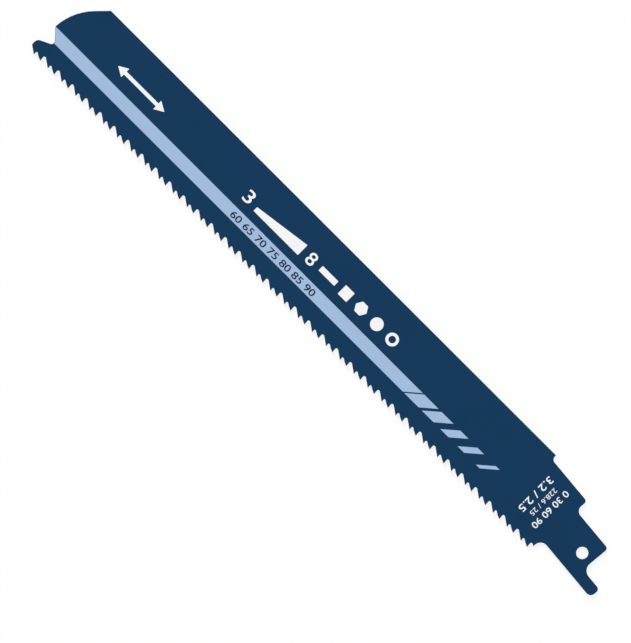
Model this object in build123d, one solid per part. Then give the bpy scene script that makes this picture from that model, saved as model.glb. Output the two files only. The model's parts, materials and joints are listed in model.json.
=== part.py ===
from build123d import *
import os
from math import cos, radians, sin, tan

# A reciprocating saw blade: one sheet of painted steel, with teeth at two alternating pitches,
# a plunge notch and hook at the nose, and a tang that leans towards the teeth.
# X runs from the tang to the nose, Y from the back edge to the teeth, and Z up through the sheet.
# The origin is the centre of the tang's hole, halfway through the sheet. Lengths are millimetres.

# Sheet: the hole lies nearer the teeth than the middle of the sheet's width does
overall_length = 228.6
blade_width = 24.78
sheet_thickness = 1.1
hole_off_middle = 2.30
edge_break = 0.12

# Teeth: a deep gullet comes before each coarse tooth, and a shallow one before each fine tooth
coarse_pitch = 25.4 / 8
fine_pitch = 25.4 / 10
coarse_depth = 1.79
fine_depth = 1.14
coarse_floor = 0.61
fine_floor = 0.44
coarse_root_radius = 0.40
fine_root_radius = 0.28
flank_blend_radius = 0.50
rake_angle = 4.0
relief_length = 1.30
relief_height = 0.60
tip_land = 0.05
first_tip_setback = 2.45

# Set of the teeth: each leans from the bend line to one side, to the other, or not at all
set_pattern = (1, -1, 0)
set_offset = 0.20
bend_height = 1.00

# Nose: setbacks are from its front, and heights from the line of the tooth tips
bevel_angle = 45.7
bevel_length = 4.75
bevel_setback = 9.37
brow_setback = 1.14
notch_setback = 4.92
notch_drop = 4.07
notch_radius = 1.00
hook_top_height = 3.78
hook_top_radius = 1.60
hook_foot_height = 1.68
hook_foot_radius = 0.40

# Tang: lengths run along the tang, and heights across it
tang_angle = 5.2
shank_height = 13.10
shank_length = 14.48
shoulder_to_hole = 3.83
tail_length = 7.54
tail_height = 3.58
heel_drop = 1.67
heel_to_hole = 25.46
heel_radius = 1.30
heel_step_radius = 1.95
foot_step_radius = 2.40
shoulder_radius = 1.00
tail_root_radius = 2.60
tail_top_radius = 1.15
tail_foot_radius = 1.65
hole_diameter = 3.60

# Print: a stripe that starts at the brow of the notch, and slanting dashes, each after its gap
ink_thickness = 0.03
stripe_to_tips = 10.20
stripe_height = 3.78
stripe_end_to_hole = 67.86
stripe_slant = 49.5
dash_gaps = (0.58, 1.28, 2.80, 3.67, 4.88)
dash_widths = (5.92, 4.84, 3.38, 2.70, 1.55)

# Cutters run past what they cut by this, and a gullet's side stays straight for this long
overshoot = 2.0
gullet_straight = 0.05


def on_tang(along, across):
    """A point given along the tang, towards the nose, and across it, towards the teeth."""
    return Vector(along, across).rotate(Axis.Z, -tang_angle)


def crossing(start, way, point, normal):
    """Where the line from start along way meets the line through point, square to normal."""
    return start + way * ((point - start).dot(normal) / way.dot(normal))


# Places that follow from the sizes
back_y = -blade_width / 2 - hole_off_middle
tips_y = blade_width / 2 - hole_off_middle
bend_y = tips_y - bend_height
stripe_y = tips_y - stripe_to_tips
half_sheet = sheet_thickness / 2
edge_straight = 2 * edge_break
tall = half_sheet + set_offset + overshoot
shank_edge = shank_height / 2
step_x = shank_length - shoulder_to_hole
tail_x = -shoulder_to_hole - tail_length
tail_round = on_tang(tail_x + tail_top_radius, shank_edge - tail_height + tail_top_radius)
nose_x = tail_round.X - tail_top_radius + overall_length
step_tip = crossing(on_tang(step_x, 0), on_tang(0, 1), Vector(0, tips_y), Vector(0, 1))


def fitting_radii(corners, straight):
    """The corners' radii, smaller only where a side would be left less than this straight."""
    points = list(corners)
    radii = list(corners.values())
    sides = [end - start for start, end in zip(points, points[1:])]
    reaches = [0.0] * len(points)
    for i in range(1, len(points) - 1):
        turn = sides[i - 1].get_angle(sides[i])
        reaches[i] = radii[i] * tan(radians(turn / 2))
    rooms = []
    for i, side in enumerate(sides):
        taken = reaches[i] + reaches[i + 1]
        rooms.append(max(0.0, side.length - straight) / taken if taken else 1.0)
    fitted = [radii[0]]
    for i in range(1, len(points) - 1):
        fitted.append(radii[i] * min(1.0, rooms[i - 1], rooms[i]))
    return fitted + [radii[-1]]


def prism(face, half_height):
    """A face drawn on the sheet's middle, raised as far above it as below."""
    return Solid.extrude(Pos(0, 0, -half_height) * face, Vector(0, 0, 2 * half_height))


def blank_face():
    """The stamped outline before any gullet is cut, with the line of the tips as its edge."""
    heel_foot = Vector(heel_to_hole, back_y + heel_drop)
    heel_edge = crossing(heel_foot, on_tang(1, 0), on_tang(step_x, 0), on_tang(1, 0))
    back_corner = Vector(nose_x - bevel_setback, back_y)
    bevel_way = Vector(cos(radians(bevel_angle)), sin(radians(bevel_angle)))
    bevel_end = back_corner + bevel_way * bevel_length
    brow = Vector(nose_x - brow_setback, stripe_y)
    first_tip = Vector(nose_x - first_tip_setback, tips_y)
    tang = {
        step_tip: 0,
        on_tang(step_x, shank_edge): foot_step_radius,
        on_tang(tail_x, shank_edge): tail_foot_radius,
        on_tang(tail_x, shank_edge - tail_height): tail_top_radius,
        on_tang(-shoulder_to_hole, shank_edge - tail_height): tail_root_radius,
        on_tang(-shoulder_to_hole, -shank_edge): shoulder_radius,
        on_tang(step_x, -shank_edge): heel_step_radius,
        heel_edge: shoulder_radius,
        heel_foot: heel_radius,
        Vector(heel_to_hole, back_y): 0,
        back_corner: 0,
        bevel_end: 0,
    }
    hook = {
        brow: 0,
        Vector(nose_x - notch_setback, stripe_y + notch_drop): notch_radius,
        Vector(nose_x, tips_y - hook_top_height): hook_top_radius,
        Vector(nose_x, tips_y - hook_foot_height): hook_foot_radius,
        first_tip: 0,
    }
    with BuildSketch() as blank:
        with BuildLine():
            FilletPolyline(*tang, radius=fitting_radii(tang, edge_straight)[1:-1])
            FilletPolyline(*hook, radius=fitting_radii(hook, edge_straight)[1:-1])
            TangentArc(bevel_end, brow, tangent=bevel_way)
            Line(first_tip, step_tip)
        make_face()
    return blank.sketch.face()


def gullet_face(pitch, depth, floor, root_radius, relief_corners):
    """A gullet from the rake face under a tip at X = 0 to the flank that rises to the next tip."""
    corners = {
        Vector(0, tips_y + overshoot): 0,
        Vector(0, tips_y): 0,
        Vector(depth * tan(radians(rake_angle)), tips_y - depth): root_radius,
        Vector(-floor, tips_y - depth): flank_blend_radius,
    }
    for corner in relief_corners:
        corners[corner] = 0
    corners[Vector(tip_land - pitch, tips_y)] = 0
    corners[Vector(tip_land - pitch, tips_y + overshoot)] = 0
    with BuildSketch() as gullet:
        with BuildLine():
            FilletPolyline(*corners, radius=fitting_radii(corners, gullet_straight), close=True)
        make_face()
    return gullet.sketch.face()


def gullet_row():
    """A shallow and a deep gullet by turns, from the first tip until the step of the tang."""
    relief = [Vector(relief_length - fine_pitch, tips_y - relief_height)]
    shallow = gullet_face(fine_pitch, fine_depth, fine_floor, fine_root_radius, relief)
    deep = gullet_face(coarse_pitch, coarse_depth, coarse_floor, coarse_root_radius, [])
    row = []
    tip_x = nose_x - first_tip_setback
    while tip_x > step_tip.X:
        before_fine_tooth = len(row) % 2 == 0
        row.append(Pos(tip_x, 0) * (shallow if before_fine_tooth else deep))
        tip_x -= fine_pitch if before_fine_tooth else coarse_pitch
    return row


def leaning_slab(lean):
    """The sheet's thickness from the bend line outwards, leaning to one side."""
    reach = bend_height + overshoot
    shift = lean * set_offset * reach / bend_height
    section = Polyline(
        (bend_y, -half_sheet),
        (bend_y + reach, shift - half_sheet),
        (bend_y + reach, shift + half_sheet),
        (bend_y, half_sheet),
        close=True,
    )
    return extrude(Plane.YZ * make_face(section), overall_length, both=True)


def make_body(blank, gullets, beyond_bend):
    """The flat sheet as far as the bend line, with its edges broken and its hole punched."""
    plate = prism(blank, half_sheet)
    sides = plate.faces().sort_by(Axis.Z)
    plate = chamfer(sides[0].edges() + sides[-1].edges(), edge_break)
    hole = Cylinder(hole_diameter / 2, sheet_thickness + overshoot)
    return plate - hole - [prism(face, tall) for face in gullets + [beyond_bend]]


def make_teeth(blank, gullets, beyond_bend):
    """The tip of each tooth, past the bend line, leaning its own way as the setting press left it."""
    slabs = [leaning_slab(lean) for lean in set_pattern]
    tip_faces = ((blank & beyond_bend) - gullets).faces().sort_by(Axis.X, reverse=True)
    return [prism(face, tall) & slabs[i % len(slabs)] for i, face in enumerate(tip_faces)]


def make_blade():
    """The sheet with its teeth, and the flat side that takes the print."""
    blank = blank_face()
    gullets = gullet_row()
    beyond_bend = Pos(nose_x / 2, bend_y) * Rectangle(
        2 * overall_length, bend_height + overshoot, align=(Align.CENTER, Align.MIN)
    )
    body = make_body(blank, gullets, beyond_bend.face())
    printed_side = body.faces().filter_by(Axis.Z).sort_by(Axis.Z)[-1]
    return body + make_teeth(blank, gullets, beyond_bend), printed_side


def print_band(low_x, high_x):
    """A field of ink across the stripe's height, with both ends slanted towards the tang."""
    lean = stripe_height / 2 * tan(radians(stripe_slant))
    outline = Polyline(
        (low_x - lean, stripe_y),
        (high_x - lean, stripe_y),
        (high_x + lean, stripe_y + stripe_height),
        (low_x + lean, stripe_y + stripe_height),
        close=True,
    )
    return Pos(0, 0, half_sheet) * make_face(outline)


def make_print(printed_side):
    """The stripe, cut off by the notch, and the dashes that get narrower towards the tang."""
    bands = [print_band(stripe_end_to_hole, nose_x + stripe_height)]
    last_x = stripe_end_to_hole
    for gap, width in zip(dash_gaps, dash_widths):
        high_x = last_x - gap
        last_x = high_x - width
        bands.append(print_band(last_x, high_x))
    fields = [(printed_side & band).face() for band in bands]
    return Compound([Solid.extrude(field, Vector(0, 0, ink_thickness)) for field in fields])


blade, printed_side = make_blade()
os.makedirs("parts", exist_ok=True)
export_step(blade, "parts/blade.step")
export_step(make_print(printed_side), "parts/printed_stripe.step")
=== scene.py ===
import json
from math import cos, radians

import bmesh
import bpy
from bpy.props import (
    FloatProperty,
    FloatVectorProperty,
    IntProperty,
    PointerProperty,
    StringProperty,
)
from bpy.types import Operator, Panel, PropertyGroup
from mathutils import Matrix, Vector


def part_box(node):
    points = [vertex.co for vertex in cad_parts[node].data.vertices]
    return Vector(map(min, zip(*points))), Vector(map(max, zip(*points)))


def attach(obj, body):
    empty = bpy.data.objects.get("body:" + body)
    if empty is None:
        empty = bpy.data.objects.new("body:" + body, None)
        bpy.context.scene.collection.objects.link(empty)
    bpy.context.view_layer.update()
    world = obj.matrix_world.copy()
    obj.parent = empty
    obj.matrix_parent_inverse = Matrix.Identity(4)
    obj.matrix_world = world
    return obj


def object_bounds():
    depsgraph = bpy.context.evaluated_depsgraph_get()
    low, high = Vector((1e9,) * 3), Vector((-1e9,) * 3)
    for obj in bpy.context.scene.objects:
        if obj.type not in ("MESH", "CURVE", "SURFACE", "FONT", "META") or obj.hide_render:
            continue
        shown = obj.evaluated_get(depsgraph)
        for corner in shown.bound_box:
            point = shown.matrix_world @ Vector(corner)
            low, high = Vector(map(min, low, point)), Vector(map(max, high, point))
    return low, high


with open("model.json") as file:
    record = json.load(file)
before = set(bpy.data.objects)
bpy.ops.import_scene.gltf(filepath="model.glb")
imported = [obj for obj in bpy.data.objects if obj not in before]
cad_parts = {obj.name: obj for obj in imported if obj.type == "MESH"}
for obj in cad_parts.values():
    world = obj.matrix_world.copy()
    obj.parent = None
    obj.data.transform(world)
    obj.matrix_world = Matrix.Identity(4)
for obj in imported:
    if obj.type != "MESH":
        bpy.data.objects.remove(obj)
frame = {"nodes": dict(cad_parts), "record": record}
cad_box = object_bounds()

bl_info = {
    "name": "Reciprocating saw blade",
    "version": (1, 0, 0),
    "blender": (4, 5, 0),
    "location": "View3D > Sidebar > Saw Blade",
    "description": "Paint, print and studio for a reciprocating saw blade",
    "category": "Object",
}

MM = 0.001


def mm(*lengths):
    """Millimetres as metres."""
    return tuple(length * MM for length in lengths)


# The frame has the centre of the tang's hole at its origin, +X to the nose and +Y to the teeth
BODY = "root"
SHEET = "blade"
STRIPE = "printed_stripe"
PAINT_SLOT = "blade_paint"
STRIPE_SLOT = "stripe_ink"
WHITE_SLOT = "white_ink"

slot_colours = {entry["slot"]: entry["base_color"][:3] for entry in frame["record"]["materials"]}
stripe_low, stripe_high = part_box(STRIPE)
printed_face_z = stripe_low.z
ink_depth = stripe_high.z - stripe_low.z

# How the photograph frames the blade: its longer side in pixels, its scale, the place on the
# blade at its centre, and its turn in degrees
PICTURE_SIDE = 643
PIXELS_PER_MM = 3.441
PICTURE_CENTRE = mm(102.41, 7.19)
PICTURE_TURN = 224.961

# The camera's sensor in millimetres, and how far it sees, in times its distance from the blade
SENSOR_WIDTH = 36.0
SIGHT = 4

# What the soft shine adds to the dark paint, so that it looks as dark as its slot's colour
SHINE_ADDS = 0.0027

# Patterns in the paint and the inks, in clouds per metre along X, Y and Z, and their relief
PAINT_CLOUDS = (45, 70, 70)
ROLLED_STREAKS = (90, 2600, 2600)
ORANGE_PEEL = (1500, 1500, 1500)
PEEL_DEPTH = 0.004 * MM
INK_COVER = (160, 160, 160)
INK_GRAIN = (4200, 4200, 4200)
GRAIN_DEPTH = 0.002 * MM

# Where a streak lies, the paint takes on this much of a colour that is this share of its own
STREAK_COVER = 0.5
STREAK_SHADE = 0.95

# Where most of a noise's values lie, how upright a face's normal is from an edge to a broad side,
# and the heights at which the dark cloth overhead starts and is full
NOISE_MIDDLE = (0.3, 0.7)
EDGE_TO_SIDE = (0.75, 0.95)
CLOTH_HEIGHTS = (0.20, 0.75)

# Turns of the print in degrees: it reads across the blade by the tang, and along it elsewhere
ACROSS_BLADE = 90.0
ALONG_BLADE = 180.0

# Lines of plain numbers: the name, the middle, and the length and height of each
PITCH_LINE = ("numbers_pitch", mm(21.63, -2.57), mm(12.8, 2.25))
SIZE_LINE = ("numbers_size", mm(18.50, -2.55), mm(10.2, 1.50))
SCALE_LINE = ("numbers_scale", mm(15.50, -2.35), mm(14.1, 2.00))
STRIPE_LINE = ("numbers_stripe", mm(125.10, 1.98), mm(33.8, 2.15))

# The marks lie along one line: an arrow near the nose, and from the start of the row a wedge
# between the numbers of the thinnest and the thickest metal, and the sections of such metal
MARKS_Y = -4.85 * MM
ARROW_X = 186.0 * MM
ROW_START_X = 143.0 * MM

# Heights as shares of the row's: a square looks larger than a disc, and a hexagon a little so
SQUARE_SHARE = 0.88
HEXAGON_SHARE = 0.92

# In radii: half the height of a hexagon, or of a triangle that points along X, and the length of
# such a triangle
HALF_HEIGHT = cos(radians(30.0))
TRIANGLE_LENGTH = 1.5

# Every drawing starts here, and is laid in its place when it is finished
ORIGIN = (0.0, 0.0, 0.0)

# Points nearer than this are one corner, a turn below this is part of a round side, and a rounded
# corner has this many sides
TOUCH = 1e-6
SMOOTH_BELOW = radians(30.0)
CORNER_SIDES = 5


class FinishSettings(PropertyGroup):
    """Colours and gloss of the paint and the inks."""

    paint_colour: FloatVectorProperty(
        name="Paint",
        description="Colour of the paint on the whole blade",
        subtype="COLOR",
        min=0.0,
        max=1.0,
        default=[part - SHINE_ADDS for part in slot_colours[PAINT_SLOT]],
    )
    # The darker blue of the edges, gullets and hole is partly thinner paint and partly painted
    # shade on the faces that turn away from the broad sides
    edge_colour: FloatVectorProperty(
        name="Paint on the edges",
        description="Colour of the thinner paint on the edges, the gullets and the hole",
        subtype="COLOR",
        min=0.0,
        max=1.0,
        default=(0.004, 0.019, 0.052),
    )
    stripe_colour: FloatVectorProperty(
        name="Stripe ink",
        description="Colour of the light ink of the stripe and its dashes",
        subtype="COLOR",
        min=0.0,
        max=1.0,
        default=slot_colours[STRIPE_SLOT],
    )
    white_colour: FloatVectorProperty(
        name="White ink",
        description="Colour of the ink of the numbers and marks on the paint",
        subtype="COLOR",
        min=0.0,
        max=1.0,
        default=slot_colours[WHITE_SLOT],
    )
    dark_colour: FloatVectorProperty(
        name="Dark ink",
        description="Colour of the ink of the numbers on the stripe",
        subtype="COLOR",
        min=0.0,
        max=1.0,
        default=(0.002, 0.014, 0.042),
    )
    paint_roughness: FloatProperty(
        name="Paint roughness",
        description="How matt the paint is, from mirror to chalk",
        subtype="FACTOR",
        min=0.0,
        max=1.0,
        default=0.34,
    )
    ink_roughness: FloatProperty(
        name="Ink roughness",
        description="How matt the inks are, from mirror to chalk",
        subtype="FACTOR",
        min=0.0,
        max=1.0,
        default=0.52,
    )
    shine: FloatProperty(
        name="Shine",
        description="Strength of the reflections in the paint and the inks",
        subtype="FACTOR",
        min=0.0,
        max=1.0,
        default=0.10,
    )


class PrintSettings(PropertyGroup):
    """What the print says, and how large its marks are."""

    pitch_words: StringProperty(
        name="Pitch numbers",
        description="Plain numbers for the two pitches of the teeth",
        default="3.2 / 2.5",
    )
    size_words: StringProperty(
        name="Size numbers",
        description="Plain numbers for the blade's length and width",
        default="228.6 / 25",
    )
    scale_words: StringProperty(
        name="Scale numbers",
        description="Plain numbers as on a dial",
        default="0 30 60 90",
    )
    stripe_words: StringProperty(
        name="Stripe numbers",
        description="Plain numbers in even steps, as on a dial",
        default="60 65 70 75 80 85 90",
    )
    boldness: FloatProperty(
        name="Boldness",
        description="How far bold strokes are widened, short of where their outlines cross",
        min=0.0,
        max=0.008,
        default=0.008,
    )
    thinnest: IntProperty(
        name="Thinnest cut",
        description="Number at the thin end of the wedge",
        min=1,
        default=3,
    )
    thickest: IntProperty(
        name="Thickest cut",
        description="Number at the thick end of the wedge",
        min=1,
        default=8,
    )
    mark_height: FloatProperty(
        name="Mark height",
        description="Height of the row of marks and of the wedge's numbers",
        unit="LENGTH",
        default=4.0 * MM,
    )
    mark_gap: FloatProperty(
        name="Mark gap",
        description="Gap between neighbours in the row of marks",
        unit="LENGTH",
        default=2.3 * MM,
    )
    number_width: FloatProperty(
        name="Number width",
        description="Width of each of the wedge's numbers",
        unit="LENGTH",
        default=2.8 * MM,
    )
    wedge_length: FloatProperty(
        name="Wedge length",
        description="Length of the wedge",
        unit="LENGTH",
        default=18.2 * MM,
    )
    flat_bar_width: FloatProperty(
        name="Flat bar width",
        description="Width of the flat bar's mark",
        unit="LENGTH",
        default=6.4 * MM,
    )
    flat_bar_height: FloatProperty(
        name="Flat bar height",
        description="Height of the flat bar's mark",
        unit="LENGTH",
        default=1.8 * MM,
    )
    tube_wall: FloatProperty(
        name="Tube wall",
        description="Thickness of the wall in the round tube's mark",
        unit="LENGTH",
        default=0.9 * MM,
    )
    arrow_length: FloatProperty(
        name="Arrow length",
        description="Length of the stroke arrow, from tip to tip",
        unit="LENGTH",
        default=19.0 * MM,
    )
    arrow_height: FloatProperty(
        name="Arrow height",
        description="Height of the stroke arrow's heads, of which its shaft takes a third",
        unit="LENGTH",
        default=3.4 * MM,
    )
    corner_radius: FloatProperty(
        name="Corner radius",
        description="Rounding of the marks' corners",
        unit="LENGTH",
        default=0.18 * MM,
    )
    disc_sides: IntProperty(
        name="Disc sides",
        description="Number of straight sides that the round marks are drawn with",
        min=12,
        default=72,
    )


class StageSettings(PropertyGroup):
    """Floor, light and camera."""

    focal_length: FloatProperty(
        name="Focal length",
        description="Focal length of the camera, in millimetres",
        unit="CAMERA",
        default=300.0,
    )
    floor_side: FloatProperty(
        name="Floor side",
        description="Side of the square floor",
        unit="LENGTH",
        default=8.0,
    )
    floor_grey: FloatProperty(
        name="Floor grey",
        description="How pale the floor is",
        subtype="FACTOR",
        min=0.0,
        max=1.0,
        default=0.97,
    )
    floor_glow: FloatProperty(
        name="Floor whiteness",
        description="Share of pure white in the floor as the camera and reflections see it",
        subtype="FACTOR",
        min=0.0,
        max=1.0,
        default=0.84,
    )
    sky_light: FloatProperty(
        name="Sky light",
        description="Strength of the even light from all round",
        default=0.50,
    )
    key_light: FloatProperty(
        name="Key light",
        description="Strength of the soft light from the side",
        default=2.50,
    )
    key_size: FloatProperty(
        name="Key size",
        description="How wide the key light looks from the blade",
        subtype="ANGLE",
        default=radians(32.0),
    )
    key_tilt: FloatProperty(
        name="Key tilt",
        description="Angle of the key light from straight above",
        subtype="ANGLE",
        default=radians(50.0),
    )
    key_turn: FloatProperty(
        name="Key turn",
        description="Side that the key light comes from, counted from the nose towards the teeth",
        subtype="ANGLE",
        default=radians(-30.0),
    )
    overhead_glow: FloatProperty(
        name="Overhead glow",
        description="How bright the dark cloth above the blade looks in reflections",
        subtype="FACTOR",
        min=0.0,
        max=1.0,
        default=0.04,
    )


def feed(tree, socket, source):
    """Gives a socket its source, which is another socket, a colour or a number."""
    if isinstance(source, bpy.types.NodeSocket):
        tree.links.new(source, socket)
    elif socket.type == "RGBA":
        socket.default_value = (*source, 1.0)
    else:
        socket.default_value = source


def maths(tree, operation, *sources):
    """The result of an operation; each source is a number or a socket."""
    node = tree.nodes.new("ShaderNodeMath")
    node.operation = operation
    for socket, source in zip(node.inputs, sources):
        feed(tree, socket, source)
    return node.outputs["Value"]


def stretched(tree, value, from_range, to_range):
    """A value stretched from one range to another, and kept within it."""
    node = tree.nodes.new("ShaderNodeMapRange")
    names = ("Value", "From Min", "From Max", "To Min", "To Max")
    for name, source in zip(names, (value, *from_range, *to_range)):
        feed(tree, node.inputs[name], source)
    return node.outputs["Result"]


def choose(tree, switch, off, on):
    """off where the switch is 0, and on where it is 1; each is a number or a socket."""
    node = tree.nodes.new("ShaderNodeMix")
    for name, source in (("Factor", switch), ("A", off), ("B", on)):
        feed(tree, node.inputs[name], source)
    return node.outputs["Result"]


def mixed(tree, factor, first, second):
    """Two colours mixed by a factor; each is a colour or the socket that gives one."""
    node = tree.nodes.new("ShaderNodeMix")
    node.data_type = "RGBA"
    colours = [socket for socket in node.inputs if socket.type == "RGBA"]
    for socket, source in zip((node.inputs["Factor"], *colours), (factor, first, second)):
        feed(tree, socket, source)
    return next(socket for socket in node.outputs if socket.type == "RGBA")


def noise(tree, place, scale, detail):
    """Cloudy noise from 0 to 1; scale is in clouds per metre along each axis."""
    mapping = tree.nodes.new("ShaderNodeMapping")
    mapping.inputs["Scale"].default_value = scale
    texture = tree.nodes.new("ShaderNodeTexNoise")
    texture.inputs["Scale"].default_value = 1.0
    texture.inputs["Detail"].default_value = detail
    tree.links.new(place.outputs["Object"], mapping.inputs["Vector"])
    tree.links.new(mapping.outputs["Vector"], texture.inputs["Vector"])
    return texture.outputs["Fac"]


def spread(tree, pattern, low, high):
    """A noise stretched to run from low to high."""
    return stretched(tree, pattern, NOISE_MIDDLE, (low, high))


def shaded(colour, share):
    """The colour made darker or lighter by a share."""
    return tuple(min(1.0, part * share) for part in colour)


def uneven(tree, pattern, colour, share):
    """A colour that a pattern makes darker and lighter by a share."""
    factor = spread(tree, pattern, 0.0, 1.0)
    return mixed(tree, factor, shaded(colour, 1 - share), shaded(colour, 1 + share))


def edge_mask(tree, place):
    """Where the painted shade and thinner paint go: 1 on the edges, gullets and hole, 0 on the
    two broad sides, also on leaning teeth.
    """
    parts = tree.nodes.new("ShaderNodeSeparateXYZ")
    tree.links.new(place.outputs["Normal"], parts.inputs["Vector"])
    upright = maths(tree, "ABSOLUTE", parts.outputs["Z"])
    return stretched(tree, upright, EDGE_TO_SIDE, (1.0, 0.0))


def new_material(name, colour, roughness, shine):
    """A material whose constants stand on its shader's own sockets."""
    material = bpy.data.materials.new(name)
    material.use_nodes = True
    shader = material.node_tree.nodes["Principled BSDF"]
    shader.inputs["Base Color"].default_value = (*colour, 1.0)
    shader.inputs["Roughness"].default_value = roughness
    shader.inputs["Specular IOR Level"].default_value = shine
    material.diffuse_color = (*colour, 1.0)
    return material, shader


def rough_between(tree, shader, pattern, roughness, play):
    """Lets a pattern raise and lower the shader's roughness by up to the play."""
    varied = spread(tree, pattern, roughness - play, roughness + play)
    tree.links.new(varied, shader.inputs["Roughness"])


def raise_surface(tree, shader, pattern, depth, strength):
    """Gives the shader's surface the pattern as fine relief of a depth."""
    bump = tree.nodes.new("ShaderNodeBump")
    bump.inputs["Distance"].default_value = depth
    bump.inputs["Strength"].default_value = strength
    tree.links.new(pattern, bump.inputs["Height"])
    tree.links.new(bump.outputs["Normal"], shader.inputs["Normal"])


def paint_material(settings):
    """Satin paint: faint streaks of the rolled steel below, a fine orange peel, and edges
    darkened by thinner paint and painted shade.
    """
    colour, dull = settings.paint_colour, settings.paint_roughness
    material, shader = new_material("dark_blue_paint", colour, dull, settings.shine)
    tree = material.node_tree
    place = tree.nodes.new("ShaderNodeTexCoord")
    clouds = noise(tree, place, PAINT_CLOUDS, detail=3.0)
    streaks = noise(tree, place, ROLLED_STREAKS, detail=3.0)
    peel = noise(tree, place, ORANGE_PEEL, detail=2.0)
    cloudy = uneven(tree, clouds, colour, share=0.04)
    streak_colour = shaded(colour, STREAK_SHADE)
    streaky = mixed(tree, spread(tree, streaks, 0.0, STREAK_COVER), cloudy, streak_colour)
    # Painted shade, together with thinner paint: the edges, gullets and hole turn a darker blue
    edge_shaded = mixed(tree, edge_mask(tree, place), streaky, settings.edge_colour)
    tree.links.new(edge_shaded, shader.inputs["Base Color"])
    rough_between(tree, shader, streaks, dull, play=0.05)
    raise_surface(tree, shader, peel, PEEL_DEPTH, strength=0.6)
    return material


def ink_material(name, colour, settings):
    """Screen-printed ink: even, with a fine grain and a slightly uneven cover."""
    dull = settings.ink_roughness
    material, shader = new_material(name, colour, dull, settings.shine)
    tree = material.node_tree
    place = tree.nodes.new("ShaderNodeTexCoord")
    cover = noise(tree, place, INK_COVER, detail=2.0)
    grain = noise(tree, place, INK_GRAIN, detail=2.0)
    tree.links.new(uneven(tree, cover, colour, share=0.015), shader.inputs["Base Color"])
    rough_between(tree, shader, grain, dull, play=0.06)
    raise_surface(tree, shader, grain, GRAIN_DEPTH, strength=0.5)
    return material


def white_ink(settings):
    """The ink of the numbers and marks on the paint, made once and shared by them all."""
    name = "white_ink"
    return bpy.data.materials.get(name) or ink_material(name, settings.white_colour, settings)


def dark_ink(settings):
    """The ink of the numbers on the stripe."""
    return ink_material("dark_blue_ink", settings.dark_colour, settings)


def wear(piece, material):
    """Gives the piece this material, and no other."""
    piece.data.materials.clear()
    piece.data.materials.append(material)


def seen_rays(tree):
    """Two sockets: 1 for what the camera sees directly, and 1 for that or what is reflected."""
    rays = tree.nodes.new("ShaderNodeLightPath").outputs
    mirrored = maths(tree, "MAXIMUM", rays["Is Glossy Ray"], rays["Is Transmission Ray"])
    return rays["Is Camera Ray"], maths(tree, "MAXIMUM", rays["Is Camera Ray"], mirrored)


def floor_material(settings):
    """A pale floor that looks nearly white and still takes the blade's shadow."""
    grey = (settings.floor_grey,) * 3
    material, shader = new_material("pale_floor", grey, roughness=1.0, shine=0.0)
    tree = material.node_tree
    glow = tree.nodes.new("ShaderNodeEmission")
    glow.inputs["Color"].default_value = (1.0, 1.0, 1.0, 1.0)
    glow.inputs["Strength"].default_value = 1.0
    blend = tree.nodes.new("ShaderNodeMixShader")
    share = maths(tree, "MULTIPLY", seen_rays(tree)[1], settings.floor_glow)
    tree.links.new(share, blend.inputs["Fac"])
    tree.links.new(shader.outputs["BSDF"], blend.inputs[1])
    tree.links.new(glow.outputs["Emission"], blend.inputs[2])
    tree.links.new(blend.outputs["Shader"], tree.nodes["Material Output"].inputs["Surface"])
    return material


def studio_world(settings):
    """Even light all round; white to the camera, with a dark cloth overhead in reflections."""
    world = bpy.data.worlds.new("studio")
    world.use_nodes = True
    tree = world.node_tree
    back = tree.nodes["Background"]
    back.inputs["Color"].default_value = (1.0, 1.0, 1.0, 1.0)
    way = tree.nodes.new("ShaderNodeTexCoord")
    parts = tree.nodes.new("ShaderNodeSeparateXYZ")
    tree.links.new(way.outputs["Generated"], parts.inputs["Vector"])
    cloth = stretched(tree, parts.outputs["Z"], CLOTH_HEIGHTS, (1.0, settings.overhead_glow))
    camera_ray, seen_ray = seen_rays(tree)
    mirrored = choose(tree, seen_ray, settings.sky_light, cloth)
    feed(tree, back.inputs["Strength"], choose(tree, camera_ray, mirrored, 1.0))
    return world


def start_plate(name, width, height):
    """A flat rectangle in the plane of the print, with everything else deselected."""
    bpy.ops.object.select_all(action="DESELECT")
    bpy.ops.mesh.primitive_plane_add(size=1.0, location=ORIGIN)
    plate = bpy.context.object
    plate.name = name
    plate.scale = (width, height, 1.0)
    bpy.ops.object.transform_apply(location=True, rotation=True, scale=True)
    return plate


def start_disc(name, sides, radius):
    """A flat regular shape in the plane of the print, with a corner towards -X."""
    bpy.ops.object.select_all(action="DESELECT")
    quarter_turn = (0.0, 0.0, radians(90.0))
    bpy.ops.mesh.primitive_circle_add(
        vertices=sides, radius=radius, fill_type="NGON", location=ORIGIN, rotation=quarter_turn
    )
    disc = bpy.context.object
    disc.name = name
    bpy.ops.object.transform_apply(location=True, rotation=True, scale=True)
    return disc


def move_corner(plate, corner, way):
    """Moves one corner of a flat drawing, which stays flat."""
    bpy.ops.object.mode_set(mode="EDIT")
    bpy.ops.mesh.select_mode(type="VERT")
    bpy.ops.mesh.select_all(action="DESELECT")
    outline = bmesh.from_edit_mesh(plate.data)
    for point in outline.verts:
        if (point.co - Vector((*corner, 0.0))).length < TOUCH:
            point.select_set(True)
    bmesh.update_edit_mesh(plate.data)
    bpy.ops.transform.translate(value=(*way, 0.0))
    bpy.ops.object.mode_set(mode="OBJECT")


def open_middle(wall):
    """Takes out the middle of the active face, leaving a wall all round."""
    bpy.ops.object.mode_set(mode="EDIT")
    bpy.ops.mesh.select_mode(type="FACE")
    bpy.ops.mesh.select_all(action="SELECT")
    bpy.ops.mesh.inset(thickness=wall)
    bpy.ops.mesh.delete(type="FACE")
    bpy.ops.object.mode_set(mode="OBJECT")


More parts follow.
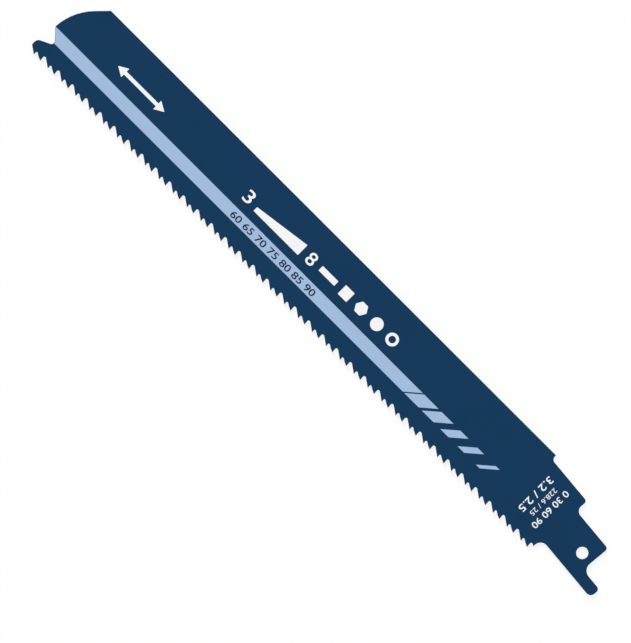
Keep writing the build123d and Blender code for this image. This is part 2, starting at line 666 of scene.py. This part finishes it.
def select_upright(drawing, x, half_height):
    """Selects the edges that run straight across at x, less than half_height from the middle."""
    bpy.ops.mesh.select_all(action="DESELECT")
    outline = bmesh.from_edit_mesh(drawing.data)
    for edge in outline.edges:
        ends = [point.co for point in edge.verts]
        if all(abs(end.x - x) < TOUCH and abs(end.y) < half_height for end in ends):
            edge.select_set(True)
    bmesh.update_edit_mesh(drawing.data)


def add_shaft(head, radius, reach):
    """Draws a shaft from the middle third of a triangle's back, and mirrors both at its end."""
    bpy.ops.object.mode_set(mode="EDIT")
    bpy.ops.mesh.select_mode(type="EDGE")
    bpy.ops.mesh.select_all(action="SELECT")
    # The triangle's back is half a radius from its middle, and moves to where the shaft starts
    bpy.ops.transform.translate(value=(-reach - radius / 2, 0.0, 0.0))
    select_upright(head, -reach, radius)
    bpy.ops.mesh.subdivide(number_cuts=2)
    select_upright(head, -reach, radius / 2)
    bpy.ops.mesh.extrude_region_move(TRANSFORM_OT_translate={"value": (reach, 0.0, 0.0)})
    bpy.ops.object.mode_set(mode="OBJECT")
    bpy.ops.object.modifier_add(type="MIRROR")
    mirror = head.modifiers[-1]
    mirror.merge_threshold = TOUCH
    bpy.ops.object.modifier_apply(modifier=mirror.name)


def give_depth(piece):
    """Turns a flat drawing into a closed film of ink."""
    bpy.ops.object.modifier_add(type="SOLIDIFY")
    film = piece.modifiers[-1]
    film.thickness = ink_depth
    film.offset = 1.0
    bpy.ops.object.modifier_apply(modifier=film.name)


def round_corners(piece, radius):
    """Rounds the film's upright edges, apart from the shallow ones round a disc."""
    bpy.ops.object.mode_set(mode="EDIT")
    bpy.ops.mesh.select_mode(type="EDGE")
    bpy.ops.mesh.select_all(action="DESELECT")
    film = bmesh.from_edit_mesh(piece.data)
    for edge in film.edges:
        run = edge.verts[1].co - edge.verts[0].co
        upright = abs(run.z) > ink_depth / 2
        if upright and edge.calc_face_angle(0.0) > SMOOTH_BELOW:
            edge.select_set(True)
    bmesh.update_edit_mesh(piece.data)
    bpy.ops.mesh.bevel(offset=radius, segments=CORNER_SIDES, affect="EDGES")
    bpy.ops.object.mode_set(mode="OBJECT")


def lay_print(piece, middle, turn, on_stripe=False):
    """Lays a film of ink on the printed side: white on the paint, or dark on the stripe."""
    finish = bpy.context.scene.blade_finish
    if on_stripe:
        height, ink, slot = printed_face_z + ink_depth, dark_ink(finish), PAINT_SLOT
    else:
        height, ink, slot = printed_face_z, white_ink(finish), WHITE_SLOT
    piece.location = (*middle, height)
    piece.rotation_euler = (0.0, 0.0, radians(turn))
    bpy.ops.object.transform_apply(location=True, rotation=True, scale=True)
    wear(piece, ink)
    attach(piece, BODY)


def lay_mark(mark, x, corner_radius=0.0):
    """Finishes a mark that was drawn flat, and lays it on the line of the marks."""
    give_depth(mark)
    if corner_radius:
        round_corners(mark, corner_radius)
    bpy.ops.object.shade_smooth_by_angle(angle=SMOOTH_BELOW)
    lay_print(mark, (x, MARKS_Y), ALONG_BLADE)


def lay_numbers(line, words, turn, boldness=0.0, on_stripe=False):
    """Sets a line of plain numbers, fitted to its middle and its size."""
    name, middle, size = line
    bpy.ops.object.select_all(action="DESELECT")
    bpy.ops.object.text_add(location=ORIGIN)
    figures = bpy.context.object
    figures.name = name
    figures.data.body = words
    figures.data.offset = boldness
    bpy.ops.object.convert(target="MESH")
    piece = bpy.context.object
    corners = [Vector(corner) for corner in piece.bound_box]
    low = Vector(min(corner[axis] for corner in corners) for axis in range(3))
    high = Vector(max(corner[axis] for corner in corners) for axis in range(3))
    share = Vector((size[0] / (high.x - low.x), size[1] / (high.y - low.y), 1.0))
    piece.scale = share
    piece.location = (low + high) / -2 * share
    bpy.ops.object.transform_apply(location=True, rotation=True, scale=True)
    give_depth(piece)
    bpy.ops.object.shade_smooth_by_angle(angle=SMOOTH_BELOW)
    lay_print(piece, middle, turn, on_stripe)


def row_widths(settings):
    """The width of each piece in the row of marks, from the nose towards the tang."""
    height = settings.mark_height
    return {
        "numbers_thinnest": settings.number_width,
        "mark_wedge": settings.wedge_length,
        "numbers_thickest": settings.number_width,
        "mark_flat_bar": settings.flat_bar_width,
        "mark_square_bar": height * SQUARE_SHARE,
        "mark_hexagon_bar": height * HEXAGON_SHARE / HALF_HEIGHT,
        "mark_round_bar": height,
        "mark_round_tube": height,
    }


def row_places(settings):
    """Where the middle of each piece in the row of marks lies, all a gap apart."""
    places = {}
    edge = ROW_START_X
    for name, width in row_widths(settings).items():
        places[name] = edge - width / 2
        edge -= width + settings.mark_gap
    return places


class SAWBLADE_OT_set_stage(Operator):
    """Lay the pale floor, light it softly and look straight down on the blade."""

    bl_idname = "saw_blade.set_stage"
    bl_label = "Set Stage"

    def execute(self, context):
        settings = context.scene.blade_stage
        self.lay_floor(settings)
        self.add_light(settings)
        self.add_camera(settings)
        context.scene.world = studio_world(settings)
        context.scene.view_settings.view_transform = "Standard"
        return {"FINISHED"}

    def lay_floor(self, settings):
        bpy.ops.object.select_all(action="DESELECT")
        low, high = cad_box
        bpy.ops.mesh.primitive_plane_add(
            size=settings.floor_side, location=((low.x + high.x) / 2, (low.y + high.y) / 2, low.z)
        )
        floor = bpy.context.object
        floor.name = "floor"
        wear(floor, floor_material(settings))

    def add_light(self, settings):
        bpy.ops.object.light_add(
            type="SUN", rotation=(0.0, settings.key_tilt, settings.key_turn)
        )
        key = bpy.context.object
        key.name = "key_light"
        key.data.energy = settings.key_light
        key.data.angle = settings.key_size

    def add_camera(self, settings):
        view_side = PICTURE_SIDE / PIXELS_PER_MM * MM
        distance = view_side * settings.focal_length / SENSOR_WIDTH
        bpy.ops.object.camera_add(
            location=(*PICTURE_CENTRE, printed_face_z + distance),
            rotation=(0.0, 0.0, radians(PICTURE_TURN)),
        )
        camera = bpy.context.object
        camera.name = "camera"
        camera.data.sensor_width = SENSOR_WIDTH
        camera.data.lens = settings.focal_length
        camera.data.clip_end = SIGHT * distance
        bpy.context.scene.camera = camera


class SAWBLADE_OT_paint_sheet(Operator):
    """Paint the whole blade, teeth and edges too."""

    bl_idname = "saw_blade.paint_sheet"
    bl_label = "Paint Sheet"

    def execute(self, context):
        wear(frame["nodes"][SHEET], paint_material(context.scene.blade_finish))
        return {"FINISHED"}


class SAWBLADE_OT_ink_stripe(Operator):
    """Ink the long stripe and its slanting dashes."""

    bl_idname = "saw_blade.ink_stripe"
    bl_label = "Ink Stripe"

    def execute(self, context):
        settings = context.scene.blade_finish
        ink = ink_material("light_blue_ink", settings.stripe_colour, settings)
        wear(frame["nodes"][STRIPE], ink)
        return {"FINISHED"}


class SAWBLADE_OT_print_numbers(Operator):
    """Print the plain numbers by the tang and at the two ends of the wedge."""

    bl_idname = "saw_blade.print_numbers"
    bl_label = "Print Numbers"

    def execute(self, context):
        settings = context.scene.blade_print
        bold = settings.boldness
        lay_numbers(PITCH_LINE, settings.pitch_words, ACROSS_BLADE, bold)
        lay_numbers(SIZE_LINE, settings.size_words, ACROSS_BLADE)
        lay_numbers(SCALE_LINE, settings.scale_words, ACROSS_BLADE, bold)
        places = row_places(settings)
        size = (settings.number_width, settings.mark_height)
        for name, number in (
            ("numbers_thinnest", settings.thinnest),
            ("numbers_thickest", settings.thickest),
        ):
            line = (name, (places[name], MARKS_Y), size)
            lay_numbers(line, str(number), ALONG_BLADE, bold)
        return {"FINISHED"}


class SAWBLADE_OT_print_stripe_numbers(Operator):
    """Print the plain dark numbers along the stripe."""

    bl_idname = "saw_blade.print_stripe_numbers"
    bl_label = "Print Stripe Numbers"

    def execute(self, context):
        settings = context.scene.blade_print
        words = settings.stripe_words
        lay_numbers(STRIPE_LINE, words, ALONG_BLADE, settings.boldness, on_stripe=True)
        return {"FINISHED"}


class SAWBLADE_OT_print_wedge(Operator):
    """Print the wedge that runs from the thinnest metal to the thickest."""

    bl_idname = "saw_blade.print_wedge"
    bl_label = "Print Wedge"

    def execute(self, context):
        settings = context.scene.blade_print
        name = "mark_wedge"
        length, height = settings.wedge_length, settings.mark_height
        thin = height * settings.thinnest / settings.thickest
        wedge = start_plate(name, length, height)
        move_corner(wedge, (-length / 2, height / 2), (0.0, thin - height))
        lay_mark(wedge, row_places(settings)[name], settings.corner_radius)
        return {"FINISHED"}


class SAWBLADE_OT_print_bar_marks(Operator):
    """Print the marks for flat, square, hexagon and round bar."""

    bl_idname = "saw_blade.print_bar_marks"
    bl_label = "Print Bar Marks"

    def execute(self, context):
        settings = context.scene.blade_print
        places, widths = row_places(settings), row_widths(settings)
        radius = settings.corner_radius

        name = "mark_flat_bar"
        flat = start_plate(name, widths[name], settings.flat_bar_height)
        lay_mark(flat, places[name], radius)

        name = "mark_square_bar"
        square = start_plate(name, widths[name], widths[name])
        lay_mark(square, places[name], radius)

        name = "mark_hexagon_bar"
        hexagon = start_disc(name, 6, widths[name] / 2)
        lay_mark(hexagon, places[name], radius)

        name = "mark_round_bar"
        disc = start_disc(name, settings.disc_sides, widths[name] / 2)
        lay_mark(disc, places[name])
        return {"FINISHED"}


class SAWBLADE_OT_print_tube_mark(Operator):
    """Print the mark for round tube."""

    bl_idname = "saw_blade.print_tube_mark"
    bl_label = "Print Tube Mark"

    def execute(self, context):
        settings = context.scene.blade_print
        name = "mark_round_tube"
        ring = start_disc(name, settings.disc_sides, row_widths(settings)[name] / 2)
        open_middle(settings.tube_wall)
        lay_mark(ring, row_places(settings)[name])
        return {"FINISHED"}


class SAWBLADE_OT_print_arrow(Operator):
    """Print the arrow that shows which way the blade strokes."""

    bl_idname = "saw_blade.print_arrow"
    bl_label = "Print Stroke Arrow"

    def execute(self, context):
        settings = context.scene.blade_print
        radius = settings.arrow_height / 2 / HALF_HEIGHT
        arrow = start_disc("mark_stroke", 3, radius)
        add_shaft(arrow, radius, settings.arrow_length / 2 - TRIANGLE_LENGTH * radius)
        lay_mark(arrow, ARROW_X, settings.corner_radius)
        return {"FINISHED"}


class SAWBLADE_PT_blade(Panel):
    """The blade's steps and settings, in the sidebar."""

    bl_idname = "SAWBLADE_PT_blade"
    bl_label = "Reciprocating Saw Blade"
    bl_space_type = "VIEW_3D"
    bl_region_type = "UI"
    bl_category = "Saw Blade"

    def draw(self, context):
        layout = self.layout
        for step in STEPS:
            layout.operator(step.bl_idname)
        for name, group in SETTINGS.items():
            box = layout.box()
            for setting in group.__annotations__:
                box.prop(getattr(context.scene, name), setting)


STEPS = (
    SAWBLADE_OT_set_stage,
    SAWBLADE_OT_paint_sheet,
    SAWBLADE_OT_ink_stripe,
    SAWBLADE_OT_print_numbers,
    SAWBLADE_OT_print_stripe_numbers,
    SAWBLADE_OT_print_wedge,
    SAWBLADE_OT_print_bar_marks,
    SAWBLADE_OT_print_tube_mark,
    SAWBLADE_OT_print_arrow,
)
SETTINGS = {
    "blade_finish": FinishSettings,
    "blade_print": PrintSettings,
    "blade_stage": StageSettings,
}


def register():
    for made in (*SETTINGS.values(), *STEPS, SAWBLADE_PT_blade):
        bpy.utils.register_class(made)
    for name, group in SETTINGS.items():
        setattr(bpy.types.Scene, name, PointerProperty(type=group))


def unregister():
    for name in SETTINGS:
        delattr(bpy.types.Scene, name)
    for made in reversed((*SETTINGS.values(), *STEPS, SAWBLADE_PT_blade)):
        bpy.utils.unregister_class(made)


def main():
    register()
    bpy.ops.saw_blade.set_stage()
    bpy.ops.saw_blade.paint_sheet()
    bpy.ops.saw_blade.ink_stripe()
    bpy.ops.saw_blade.print_numbers()
    bpy.ops.saw_blade.print_stripe_numbers()
    bpy.ops.saw_blade.print_wedge()
    bpy.ops.saw_blade.print_bar_marks()
    bpy.ops.saw_blade.print_tube_mark()
    bpy.ops.saw_blade.print_arrow()


if __name__ == "__main__":
    main()
